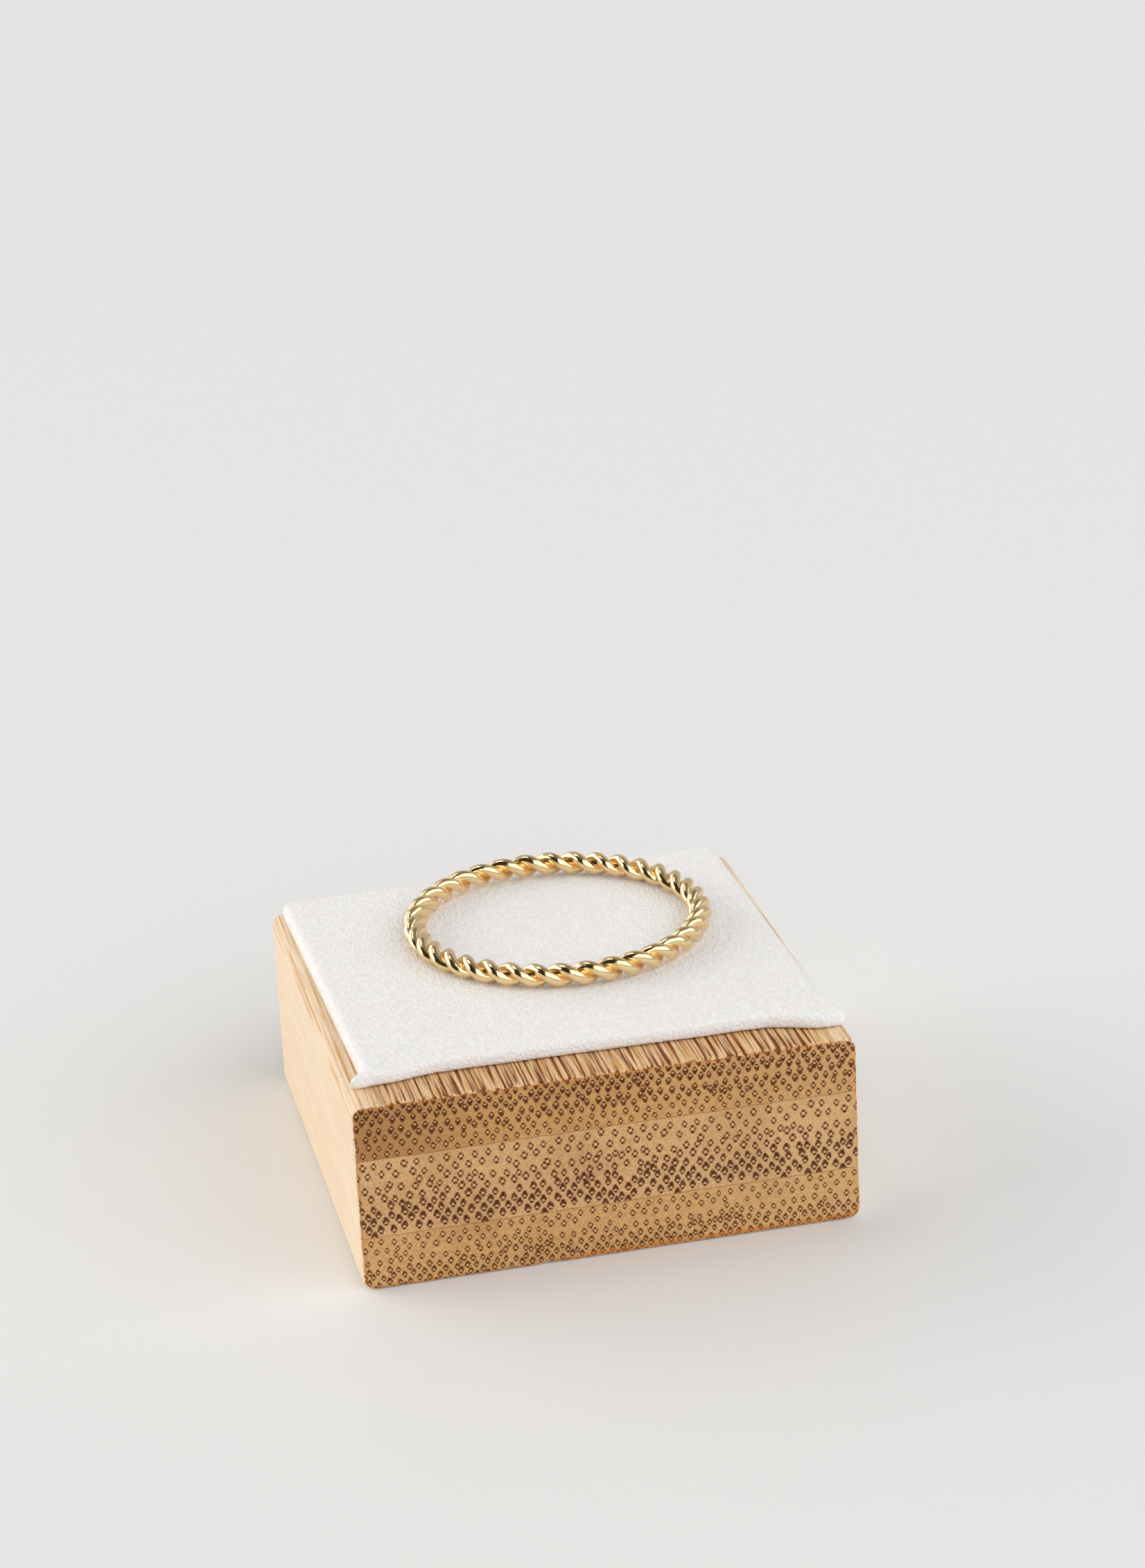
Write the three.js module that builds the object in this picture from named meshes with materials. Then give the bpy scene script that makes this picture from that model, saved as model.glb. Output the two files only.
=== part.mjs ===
// A stackable rope ring, twisted from two round wires, lying on a small display block.
// The block is laminated bamboo with a white leatherette pad glued on top.
// Millimetres, +Z up. The origin is the middle of the block's underside, and the front faces -Y.
import * as THREE from 'three';

// Bamboo block
const BLOCK_WIDTH = 35;
const BLOCK_DEPTH = 35;
const BLOCK_HEIGHT = 13.7;
const BLOCK_CORNER_RADIUS = 0.9;
const BLOCK_EDGE_RADIUS = 0.5;
const BLOCK_EDGE_STEPS = 3;

// Leatherette pad: the strips of bare bamboo that it leaves on the four sides, and its soft edge
const PAD_THICKNESS = 1.2;
const PAD_MARGIN_LEFT = 1.2;
const PAD_MARGIN_RIGHT = 0.4;
const PAD_MARGIN_FRONT = 3.5;
const PAD_MARGIN_BACK = 0.4;
const PAD_CORNER_RADIUS = 0.8;
const PAD_EDGE_RADIUS = 0.7;
const PAD_FOOT_INSET = 0.15;
const PAD_EDGE_STEPS = 4;

// The two front corners of the pad stand forward of its straight front edge
const PAD_LEFT_EAR_REACH = 0.8;
const PAD_LEFT_EAR_WIDTH = 5.5;
const PAD_RIGHT_EAR_REACH = 1.3;
const PAD_RIGHT_EAR_WIDTH = 4.5;
const PAD_EAR_STEPS = 6;

// Rope ring: a finger size, and two round wires that go once round each other in each pitch
const FINGER_HOLE_DIAMETER = 18.9;
const WIRE_DIAMETER = 0.85;
const TWIST_PITCH = 3.6;
const SOLDER_CORE_RADIUS = 0.24;
const RING_GAP_TO_PAD_BACK = 0.95;
const RING_SHIFT_FROM_PAD_MIDDLE = 1.3;
const RING_SEAT_CLEARANCE = 0.01;
const SECTIONS_PER_TWIST = 12;
const POINTS_PER_SECTION = 20;

const CORNER_STEPS = 4;
const SMALLEST_CORNER_SHARE = 0.1;
const HELIX_SAMPLES = 60;
const HALVINGS = 30;
const QUARTER_TURN = Math.PI / 2;
const FULL_TURN = Math.PI * 2;

const GOLD = new THREE.MeshStandardMaterial({ color: 0xdcb468, roughness: 0.14, metalness: 1.0 });
const LEATHERETTE = new THREE.MeshStandardMaterial({ color: 0xf2f1ee, roughness: 0.55, metalness: 0.0 });
const BAMBOO = new THREE.MeshStandardMaterial({ color: 0xc79a66, roughness: 0.6, metalness: 0.0 });

// A closed body from stacked outlines that all have the same number of points.
// Each level is a list of [x, y] and a height, and the two ends are closed by fans.
function stackOutlines(levels) {
  const count = levels[0].points.length;
  const positions = [];
  const faces = [];
  for (const level of levels) {
    for (const [x, y] of level.points) {
      positions.push(x, y, level.height);
    }
  }
  for (let i = 0; i < levels.length - 1; i += 1) {
    for (let j = 0; j < count; j += 1) {
      const next = (j + 1) % count;
      const a = i * count + j;
      const b = i * count + next;
      const c = a + count;
      const d = b + count;
      faces.push(a, b, d, a, d, c);
    }
  }
  closeEnd(positions, faces, levels[0], 0, true);
  closeEnd(positions, faces, levels[levels.length - 1], (levels.length - 1) * count, false);
  return meshGeometry(positions, faces);
}

function closeEnd(positions, faces, level, first, facesDown) {
  const count = level.points.length;
  const middle = positions.length / 3;
  const sumX = level.points.reduce((sum, point) => sum + point[0], 0);
  const sumY = level.points.reduce((sum, point) => sum + point[1], 0);
  positions.push(sumX / count, sumY / count, level.height);
  for (let j = 0; j < count; j += 1) {
    const a = first + j;
    const b = first + ((j + 1) % count);
    if (facesDown) {
      faces.push(middle, b, a);
    } else {
      faces.push(middle, a, b);
    }
  }
}

function meshGeometry(positions, faces) {
  const geometry = new THREE.BufferGeometry();
  geometry.setAttribute('position', new THREE.Float32BufferAttribute(positions, 3));
  geometry.setIndex(faces);
  geometry.computeVertexNormals();
  return geometry;
}

// The points of one rounded corner, counter-clockwise from the given start angle
function cornerArc(x, y, radius, start) {
  const points = [];
  for (let i = 0; i <= CORNER_STEPS; i += 1) {
    const angle = start + (QUARTER_TURN * i) / CORNER_STEPS;
    points.push([x + radius * Math.cos(angle), y + radius * Math.sin(angle)]);
  }
  return points;
}

// A corner's radius shrinks as its outline is pulled in, but the corner never turns sharp
function insetCorner(corner, inset) {
  return Math.max(corner - inset, corner * SMALLEST_CORNER_SHARE);
}

// A rectangle with rounded corners, pulled in by the inset, counter-clockwise from the front right
function roundedRectangle(left, right, front, back, corner, inset) {
  const radius = insetCorner(corner, inset);
  const x0 = left + inset + radius;
  const x1 = right - inset - radius;
  const y0 = front + inset + radius;
  const y1 = back - inset - radius;
  return [
    ...cornerArc(x1, y0, radius, -QUARTER_TURN),
    ...cornerArc(x1, y1, radius, 0),
    ...cornerArc(x0, y1, radius, QUARTER_TURN),
    ...cornerArc(x0, y0, radius, 2 * QUARTER_TURN),
  ];
}

function bambooBlock() {
  const levels = [];
  const addLevel = (height, inset) => {
    const points = roundedRectangle(
      -BLOCK_WIDTH / 2, BLOCK_WIDTH / 2, -BLOCK_DEPTH / 2, BLOCK_DEPTH / 2, BLOCK_CORNER_RADIUS, inset);
    levels.push({ points, height });
  };
  for (let i = 0; i <= BLOCK_EDGE_STEPS; i += 1) {
    const angle = (QUARTER_TURN * i) / BLOCK_EDGE_STEPS;
    addLevel(BLOCK_EDGE_RADIUS * (1 - Math.cos(angle)), BLOCK_EDGE_RADIUS * (1 - Math.sin(angle)));
  }
  for (let i = 0; i <= BLOCK_EDGE_STEPS; i += 1) {
    const angle = (QUARTER_TURN * i) / BLOCK_EDGE_STEPS;
    addLevel(
      BLOCK_HEIGHT - BLOCK_EDGE_RADIUS * (1 - Math.sin(angle)),
      BLOCK_EDGE_RADIUS * (1 - Math.cos(angle)));
  }
  return stackOutlines(levels);
}

// The pad's sides, from the block's sides and the strips of bamboo left bare
const PAD_LEFT = -BLOCK_WIDTH / 2 + PAD_MARGIN_LEFT;
const PAD_RIGHT = BLOCK_WIDTH / 2 - PAD_MARGIN_RIGHT;
const PAD_FRONT = -BLOCK_DEPTH / 2 + PAD_MARGIN_FRONT;
const PAD_BACK = BLOCK_DEPTH / 2 - PAD_MARGIN_BACK;
const PAD_TOP = BLOCK_HEIGHT + PAD_THICKNESS;

// How far an ear stands forward: the full reach at the corner, easing to nothing over its width
function earReach(distance, width, reach) {
  const share = Math.min(Math.max(1 - distance / width, 0), 1);
  return reach * share * share * (3 - 2 * share);
}

function padFrontAt(x) {
  const left = earReach(x - PAD_LEFT, PAD_LEFT_EAR_WIDTH, PAD_LEFT_EAR_REACH);
  const right = earReach(PAD_RIGHT - x, PAD_RIGHT_EAR_WIDTH, PAD_RIGHT_EAR_REACH);
  return PAD_FRONT - left - right;
}

// Counter-clockwise from the front left corner: the front edge with its two ears, then the corners
function padOutline(inset) {
  const points = [];
  const radius = insetCorner(PAD_CORNER_RADIUS, inset);
  const x0 = PAD_LEFT + inset + radius;
  const x1 = PAD_RIGHT - inset - radius;
  const y1 = PAD_BACK - inset - radius;
  for (let i = 1; i < PAD_EAR_STEPS; i += 1) {
    const x = x0 + (PAD_LEFT_EAR_WIDTH * i) / PAD_EAR_STEPS;
    points.push([x, padFrontAt(x) + inset]);
  }
  for (let i = PAD_EAR_STEPS - 1; i > 0; i -= 1) {
    const x = x1 - (PAD_RIGHT_EAR_WIDTH * i) / PAD_EAR_STEPS;
    points.push([x, padFrontAt(x) + inset]);
  }
  points.push(...cornerArc(x1, padFrontAt(x1) + inset + radius, radius, -QUARTER_TURN));
  points.push(...cornerArc(x1, y1, radius, 0));
  points.push(...cornerArc(x0, y1, radius, QUARTER_TURN));
  points.push(...cornerArc(x0, padFrontAt(x0) + inset + radius, radius, 2 * QUARTER_TURN));
  return points;
}

function leatherettePad() {
  const levels = [{ points: padOutline(PAD_FOOT_INSET), height: 0 }];
  const shoulder = PAD_THICKNESS - PAD_EDGE_RADIUS;
  for (let i = 0; i <= PAD_EDGE_STEPS; i += 1) {
    const angle = (QUARTER_TURN * i) / PAD_EDGE_STEPS;
    const inset = PAD_EDGE_RADIUS * (1 - Math.cos(angle));
    levels.push({ points: padOutline(inset), height: shoulder + PAD_EDGE_RADIUS * Math.sin(angle) });
  }
  return stackOutlines(levels);
}

// The rope's sizes
const ROPE_DIAMETER = 2 * WIRE_DIAMETER;
const ROPE_CENTRE_RADIUS = (FINGER_HOLE_DIAMETER + ROPE_DIAMETER) / 2;
const RING_OUTER_RADIUS = ROPE_CENTRE_RADIUS + ROPE_DIAMETER / 2;
const TWISTS = Math.round((FULL_TURN * ROPE_CENTRE_RADIUS) / TWIST_PITCH);
const TWIST_RATE = TWISTS / ROPE_CENTRE_RADIUS;

// How far a point of the rope's cross-section lies from the centreline of the nearer wire.
// The wire's centreline is a helix, and the nearest point of it may lie before or after the section.
function distanceToWire(x, y) {
  const radius = WIRE_DIAMETER / 2;
  let nearest = Infinity;
  for (let i = -HELIX_SAMPLES; i <= HELIX_SAMPLES; i += 1) {
    const along = (WIRE_DIAMETER * i) / HELIX_SAMPLES;
    const dx = x - radius * Math.cos(TWIST_RATE * along);
    const dy = y - radius * Math.sin(TWIST_RATE * along);
    nearest = Math.min(nearest, Math.hypot(along, dx, dy));
  }
  return nearest;
}

// How far the rope's surface lies from its centreline, at an angle from the line through both wires
function sectionRadius(angle) {
  const turned = Math.abs(((angle + QUARTER_TURN) % Math.PI) - QUARTER_TURN);
  let outside = ROPE_DIAMETER / 2;
  let inside = (WIRE_DIAMETER / 2) * Math.cos(turned);
  for (let i = 0; i < HALVINGS; i += 1) {
    const middle = (inside + outside) / 2;
    if (distanceToWire(middle * Math.cos(turned), middle * Math.sin(turned)) < WIRE_DIAMETER / 2) {
      inside = middle;
    } else {
      outside = middle;
    }
  }
  return Math.max(outside, SOLDER_CORE_RADIUS);
}

// One ring of points for each section of the rope, turned a little further each time
function ropeRing() {
  const radii = [];
  for (let j = 0; j < POINTS_PER_SECTION; j += 1) {
    radii.push(sectionRadius((FULL_TURN * j) / POINTS_PER_SECTION));
  }
  const sections = TWISTS * SECTIONS_PER_TWIST;
  const positions = [];
  const faces = [];
  for (let i = 0; i < sections; i += 1) {
    const around = (FULL_TURN * i) / sections;
    for (let j = 0; j < POINTS_PER_SECTION; j += 1) {
      const turn = TWISTS * around + (FULL_TURN * j) / POINTS_PER_SECTION;
      const reach = ROPE_CENTRE_RADIUS + radii[j] * Math.sin(turn);
      positions.push(reach * Math.cos(around), reach * Math.sin(around), radii[j] * Math.cos(turn));
      const a = i * POINTS_PER_SECTION + j;
      const b = i * POINTS_PER_SECTION + ((j + 1) % POINTS_PER_SECTION);
      const c = ((i + 1) % sections) * POINTS_PER_SECTION + j;
      const d = ((i + 1) % sections) * POINTS_PER_SECTION + ((j + 1) % POINTS_PER_SECTION);
      faces.push(a, b, c, b, d, c);
    }
  }
  return meshGeometry(positions, faces);
}

function namedMesh(name, geometry, material) {
  const mesh = new THREE.Mesh(geometry, material);
  mesh.name = name;
  return mesh;
}

const block = namedMesh('bamboo_block', bambooBlock(), BAMBOO);

const pad = namedMesh('leatherette_pad', leatherettePad(), LEATHERETTE);
pad.position.z = BLOCK_HEIGHT;

const ring = namedMesh('rope_ring', ropeRing(), GOLD);
ring.position.set(
  (PAD_LEFT + PAD_RIGHT) / 2 + RING_SHIFT_FROM_PAD_MIDDLE,
  PAD_BACK - RING_GAP_TO_PAD_BACK - RING_OUTER_RADIUS,
  PAD_TOP + RING_SEAT_CLEARANCE + ROPE_DIAMETER / 2);

const stackableRing = new THREE.Group();
stackableRing.name = 'stackable_ring_on_block';
stackableRing.add(block, pad, ring);

export default stackableRing;
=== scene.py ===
# A stackable rope ring on its display block: fine meshes, materials, light and camera.
# Lengths are named in millimetres and turned into metres by MM. +Z is up and the front faces -Y.
import math

import bpy
from mathutils import Matrix, Vector, noise


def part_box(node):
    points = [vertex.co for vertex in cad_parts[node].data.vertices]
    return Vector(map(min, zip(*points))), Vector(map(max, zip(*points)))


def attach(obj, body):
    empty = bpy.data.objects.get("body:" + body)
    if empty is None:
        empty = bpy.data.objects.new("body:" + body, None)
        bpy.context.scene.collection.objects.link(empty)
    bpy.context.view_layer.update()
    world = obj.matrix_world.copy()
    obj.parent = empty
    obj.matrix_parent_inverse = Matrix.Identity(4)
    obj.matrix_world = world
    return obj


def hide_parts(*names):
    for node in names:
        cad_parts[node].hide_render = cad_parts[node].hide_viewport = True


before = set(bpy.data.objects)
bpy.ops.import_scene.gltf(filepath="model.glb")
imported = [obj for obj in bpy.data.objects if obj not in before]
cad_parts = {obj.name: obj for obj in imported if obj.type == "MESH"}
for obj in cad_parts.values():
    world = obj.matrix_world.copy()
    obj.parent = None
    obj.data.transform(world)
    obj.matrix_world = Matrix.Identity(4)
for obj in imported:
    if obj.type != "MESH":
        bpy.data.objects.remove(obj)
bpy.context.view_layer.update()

MM = 0.001
FULL_TURN = 2.0 * math.pi
QUARTER_TURN = 0.5 * math.pi

# The block, the pad and the ring, from the frame's own boxes
BLOCK_LOW, BLOCK_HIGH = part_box("bamboo_block")
PAD_LOW, PAD_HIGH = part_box("leatherette_pad")
RING_LOW, RING_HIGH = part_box("rope_ring")
BLOCK_WIDTH = (BLOCK_HIGH.x - BLOCK_LOW.x) / MM
BLOCK_DEPTH = (BLOCK_HIGH.y - BLOCK_LOW.y) / MM
BLOCK_HEIGHT = (BLOCK_HIGH.z - BLOCK_LOW.z) / MM
PAD_THICKNESS = (PAD_HIGH.z - PAD_LOW.z) / MM

# The photograph's camera: where it stands, how it is turned and its focal length in pixels
IMAGE_HEIGHT_PIXELS = 2263.0
SENSOR_SIZE = 36.0
FOCAL_PIXELS = 5788.0
CAMERA_TARGET = Vector((2.31, 0.0, 27.83))
CAMERA_DISTANCE = 280.7
CAMERA_AZIMUTH = math.radians(-11.60)
CAMERA_ELEVATION = math.radians(21.14)
CAMERA_ROLL = math.radians(-3.05)
CLIP_START = 1.0
CLIP_END = 20000.0


def make_camera():
    """The photograph's camera, from where it stands round its target and how it is rolled."""
    back = Vector((
        math.sin(CAMERA_AZIMUTH) * math.cos(CAMERA_ELEVATION),
        -math.cos(CAMERA_AZIMUTH) * math.cos(CAMERA_ELEVATION),
        math.sin(CAMERA_ELEVATION)))
    level = Vector((0.0, 0.0, 1.0)).cross(back).normalized()
    upright = back.cross(level)
    side = level * math.cos(CAMERA_ROLL) + upright * math.sin(CAMERA_ROLL)
    top = upright * math.cos(CAMERA_ROLL) - level * math.sin(CAMERA_ROLL)
    data = bpy.data.cameras.new("photo_camera")
    data.sensor_width = SENSOR_SIZE
    data.lens = FOCAL_PIXELS * SENSOR_SIZE / IMAGE_HEIGHT_PIXELS
    data.clip_start = CLIP_START * MM
    data.clip_end = CLIP_END * MM
    camera = bpy.data.objects.new("photo_camera", data)
    bpy.context.collection.objects.link(camera)
    place = (CAMERA_TARGET + back * CAMERA_DISTANCE) * MM
    camera.matrix_world = Matrix.Translation(place) @ Matrix((side, top, back)).transposed().to_4x4()
    bpy.context.scene.camera = camera


def linear(red, green, blue):
    """A colour given as 0 to 255 screen values, as the linear values that a shader takes. The numbers
    are those of the standard curve between the two."""
    def channel(value):
        share = value / 255.0
        if share <= 0.04045:
            return share / 12.92
        return ((share + 0.055) / 1.055) ** 2.4
    return (channel(red), channel(green), channel(blue), 1.0)


class Term:
    """A number that a material works out, which takes ordinary arithmetic."""

    def __init__(self, tree, socket):
        self.tree = tree
        self.socket = socket

    def apply(self, operation, *others, clamp=False):
        node = self.tree.nodes.new("ShaderNodeMath")
        node.operation = operation
        node.use_clamp = clamp
        for place, value in zip(node.inputs, (self,) + others):
            feed(self.tree, place, value)
        return Term(self.tree, node.outputs[0])

    def __add__(self, other):
        return self.apply("ADD", other)

    def __sub__(self, other):
        return self.apply("SUBTRACT", other)

    def __mul__(self, other):
        return self.apply("MULTIPLY", other)

    def __truediv__(self, other):
        return self.apply("DIVIDE", other)

    def __rsub__(self, other):
        return (self * -1.0) + other

    def over(self, limit):
        return self.apply("GREATER_THAN", limit)

    def under(self, limit):
        return self.apply("LESS_THAN", limit)

    def size(self):
        return self.apply("ABSOLUTE")

    def most(self, other):
        return self.apply("MAXIMUM", other)

    def least(self, other):
        return self.apply("MINIMUM", other)

    def held(self):
        """The same number, held between 0 and 1."""
        return self.apply("ADD", 0.0, clamp=True)

    def length(self, other):
        return (self * self + other * other).apply("SQRT")

    def between(self, start, end):
        """0 at start, 1 at end, eased and held outside them. Start may be the larger."""
        node = self.tree.nodes.new("ShaderNodeMapRange")
        node.interpolation_type = "SMOOTHSTEP"
        feed(self.tree, node.inputs["Value"], self)
        low, high = (start, end) if start < end else (end, start)
        node.inputs["From Min"].default_value = low
        node.inputs["From Max"].default_value = high
        node.inputs["To Min"].default_value = 0.0 if start < end else 1.0
        node.inputs["To Max"].default_value = 1.0 if start < end else 0.0
        return Term(self.tree, node.outputs["Result"])

    def swing(self, reach):
        """A noise between 0 and 1 as one that swings round 0, by half the reach to each side."""
        return (self - 0.5) * reach

    def fade(self, start, end, strength):
        """0 at start and strength at end, eased and held outside them."""
        return self.between(start, end) * strength


def feed(tree, place, value):
    """Links a term or a socket to an input, or writes a plain value into it."""
    if isinstance(value, Term):
        tree.links.new(value.socket, place)
    elif isinstance(value, bpy.types.NodeSocket):
        tree.links.new(value, place)
    else:
        place.default_value = value


def vector_of(tree, x, y, z):
    """One vector from three terms or numbers."""
    node = tree.nodes.new("ShaderNodeCombineXYZ")
    feed(tree, node.inputs[0], x)
    feed(tree, node.inputs[1], y)
    feed(tree, node.inputs[2], z)
    return node.outputs[0]


def parts_of(tree, socket):
    """The three parts of a vector or colour, as terms."""
    node = tree.nodes.new("ShaderNodeSeparateXYZ")
    tree.links.new(socket, node.inputs[0])
    return [Term(tree, output) for output in node.outputs]


def place_in_millimetres(tree):
    """The point's place in the part's own frame."""
    coordinates = tree.nodes.new("ShaderNodeTexCoord")
    x, y, z = parts_of(tree, coordinates.outputs["Object"])
    return x / MM, y / MM, z / MM


def noise_at(tree, vector, scale=1.0, detail=2.0, roughness=0.5):
    """A soft noise between 0 and 1."""
    node = tree.nodes.new("ShaderNodeTexNoise")
    feed(tree, node.inputs["Vector"], vector)
    node.inputs["Scale"].default_value = scale
    node.inputs["Detail"].default_value = detail
    node.inputs["Roughness"].default_value = roughness
    return Term(tree, node.outputs["Fac"])


# The sockets of a colour mix: its share, its two colours and its result
MIX_SHARE = 0
MIX_FIRST = 6
MIX_SECOND = 7
MIX_RESULT = 2


def mixed(tree, share, first, second):
    """The first colour where the share is 0 and the second where it is 1."""
    node = tree.nodes.new("ShaderNodeMix")
    node.data_type = "RGBA"
    feed(tree, node.inputs[MIX_SHARE], share)
    feed(tree, node.inputs[MIX_FIRST], first)
    feed(tree, node.inputs[MIX_SECOND], second)
    return node.outputs[MIX_RESULT]


def bumped(tree, height, distance):
    """A shading normal from a height between 0 and 1 that stands for that many millimetres."""
    node = tree.nodes.new("ShaderNodeBump")
    feed(tree, node.inputs["Height"], height)
    node.inputs["Distance"].default_value = distance * MM
    return node.outputs["Normal"]


def new_material(name):
    material = bpy.data.materials.new(name)
    material.use_nodes = True
    tree = material.node_tree
    return material, tree, tree.nodes["Principled BSDF"]


# In all materials a range has the values at which a change starts and is complete, and a fade has
# those and its strength. A noise's scale is about how many of its bumps fit in a millimetre.

# Gold: a mirror-like polish with faint waves and smears left by polishing
GOLD_COLOUR = (0.905, 0.670, 0.365, 1.0)
GOLD_ROUGHNESS = 0.07
GOLD_SMEARS = {"scale": 3.0, "detail": 3.0}
GOLD_SMEAR_FADE = (0.35, 0.75, 0.10)
GOLD_WAVES = {"scale": 1.3, "detail": 1.0}
GOLD_WAVE_HEIGHT = 0.045
GOLD_RIPPLES = {"scale": 6.5, "detail": 2.0}
GOLD_RIPPLE_HEIGHT = 0.004


def gold_material():
    material, tree, shader = new_material("polished_gold")
    x, y, z = place_in_millimetres(tree)
    place = vector_of(tree, x, y, z)
    waves = noise_at(tree, place, **GOLD_WAVES)
    ripples = noise_at(tree, place, **GOLD_RIPPLES)
    smears = noise_at(tree, place, **GOLD_SMEARS)
    shader.inputs["Base Color"].default_value = GOLD_COLOUR
    shader.inputs["Metallic"].default_value = 1.0
    feed(tree, shader.inputs["Roughness"], smears.fade(*GOLD_SMEAR_FADE) + GOLD_ROUGHNESS)
    height = waves * GOLD_WAVE_HEIGHT + ripples * GOLD_RIPPLE_HEIGHT
    feed(tree, shader.inputs["Normal"], bumped(tree, height, 1.0))
    return material


# Leatherette: a fine grain of soft ridges that run from front to back, with a few grey specks. The grain's
# valleys are painted darker than its ridges: painted shade.
GRAIN_ACROSS = 0.19
GRAIN_ALONG = 0.40
GRAIN_DOWN = 0.22
GRAIN_DEPTH = 0.042
GRAIN_DRIFT = 0.2
GRAIN_DRIFT_NOISE = {"scale": 1.2, "detail": 1.0}
RIDGE_NOISE = {"detail": 0.5}
RIDGE_RANGE = (0.30, 0.66)
RIDGE_SHARE = 0.85
PEBBLE_NOISE = {"detail": 1.0}
PEBBLE_SHARE = 0.15
LEATHERETTE_RIDGE_COLOUR = linear(250, 249, 247)
LEATHERETTE_SHADED_VALLEY_COLOUR = linear(243, 240, 237)
LEATHERETTE_SPECK_COLOUR = linear(150, 146, 142)
LEATHERETTE_ROUGHNESS = 0.50
LEATHERETTE_SPECULAR = 0.4
SPECK_SPACING = 3.6
SPECK_FADE = (0.05, 0.02, 0.6)


def leatherette_material():
    material, tree, shader = new_material("white_leatherette")
    x, y, z = place_in_millimetres(tree)
    place = vector_of(tree, x, y, z)
    drift = noise_at(tree, place, **GRAIN_DRIFT_NOISE).swing(GRAIN_DRIFT)
    grain = vector_of(tree, (x + drift) / GRAIN_ACROSS, (y + drift) / GRAIN_ALONG, z / GRAIN_DOWN)
    ridges = noise_at(tree, grain, **RIDGE_NOISE).between(*RIDGE_RANGE)
    turned = vector_of(tree, y / GRAIN_ACROSS, x / GRAIN_ACROSS, z)
    pebble = noise_at(tree, turned, **PEBBLE_NOISE)
    height = ridges * RIDGE_SHARE + pebble * PEBBLE_SHARE
    # Painted shade: the grain's valleys get a darker colour than its ridges.
    colour = mixed(tree, height, LEATHERETTE_SHADED_VALLEY_COLOUR, LEATHERETTE_RIDGE_COLOUR)
    specks = tree.nodes.new("ShaderNodeTexVoronoi")
    specks.inputs["Scale"].default_value = 1.0 / SPECK_SPACING
    feed(tree, specks.inputs["Vector"], place)
    from_speck = Term(tree, specks.outputs["Distance"]) * SPECK_SPACING
    colour = mixed(tree, from_speck.fade(*SPECK_FADE), colour, LEATHERETTE_SPECK_COLOUR)
    shader.inputs["Roughness"].default_value = LEATHERETTE_ROUGHNESS
    shader.inputs["Specular IOR Level"].default_value = LEATHERETTE_SPECULAR
    feed(tree, shader.inputs["Base Color"], colour)
    feed(tree, shader.inputs["Normal"], bumped(tree, height, GRAIN_DEPTH))
    return material


# Bamboo: heights of the two glue lines, and the butt joints between strips, in each layer
LOWER_GLUE_LINE = 0.29 * BLOCK_HEIGHT
UPPER_GLUE_LINE = 0.712 * BLOCK_HEIGHT
TOP_LEFT_BUTT = -7.2
TOP_RIGHT_BUTT = 13.3
BOTTOM_BUTT = 2.8
GLUE_LINE_WIDTH = 0.035
GLUE_LINE_RANGE = (1.6 * GLUE_LINE_WIDTH, 0.3 * GLUE_LINE_WIDTH)
BUTT_FADE = (1.5 * GLUE_LINE_WIDTH, 0.3 * GLUE_LINE_WIDTH, 0.7)
GLUE_LINE_WOBBLE = 0.2
WOBBLE_NOISE = {"scale": 1.1, "detail": 2.0}
GLUE_STRENGTH = 0.25
GLUE_STRENGTH_AT_END = 0.35

# The layers are numbered 0, 1 and 2 upwards: the top one is over the first of these, and the bottom
# one under the second
TOP_LAYER_FROM = 1.5
BOTTOM_LAYER_TO = 0.5

# Bamboo: colours of the end grain, of the sides and of the top. The sides' colours are painted light, paler
# than the top's.
END_TOP_COLOUR = linear(216, 164, 102)
END_MIDDLE_COLOUR = linear(225, 179, 125)
END_BOTTOM_COLOUR = linear(221, 173, 113)
END_SHADED_COLOUR = linear(152, 105, 57)
END_CORE_COLOUR = linear(232, 192, 136)
BUNDLE_COLOUR = linear(76, 26, 2)
PALE_BUNDLE_COLOUR = linear(108, 54, 12)
RIM_COLOUR = linear(206, 132, 62)
CUT_BUNDLE_COLOUR = linear(140, 66, 26)
SIDE_PAINTED_LIGHT_COLOUR = linear(247, 229, 205)
SIDE_FIBRE_PAINTED_LIGHT_COLOUR = linear(239, 213, 181)
SIDE_BAND_COLOUR = linear(208, 146, 80)
TOP_COLOUR = linear(250, 222, 178)
TOP_FIBRE_COLOUR = linear(214, 158, 90)
TOP_STREAK_COLOUR = linear(116, 50, 4)
GLUE_COLOUR = linear(132, 82, 42)
BAMBOO_ROUGHNESS = 0.62
BAMBOO_SPECULAR = 0.2

# Bamboo: its noises, and the fibres and bands that run from front to back, as rates across and along
FINE_NOISE = {"scale": 9.0, "detail": 2.0, "roughness": 0.6}
ROUGH_NOISE = {"scale": 2.6, "detail": 3.0, "roughness": 0.6}
BLOTCH_NOISE = {"scale": 0.16, "detail": 3.0}
FIBRE_RATES = (9.0, 0.22)
FIBRE_NOISE = {"detail": 3.0, "roughness": 0.65}
BAND_RATES = (3.8, 0.07)
BAND_NOISE = {"detail": 2.0, "roughness": 0.6}

# Which faces show end grain, and which of the others is the top, by how far their normals turn
END_FACE_RANGE = (0.62, 0.74)
END_FACE_RAGGEDNESS = 0.5
TOP_FACE_RANGE = (0.3, 0.8)
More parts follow.
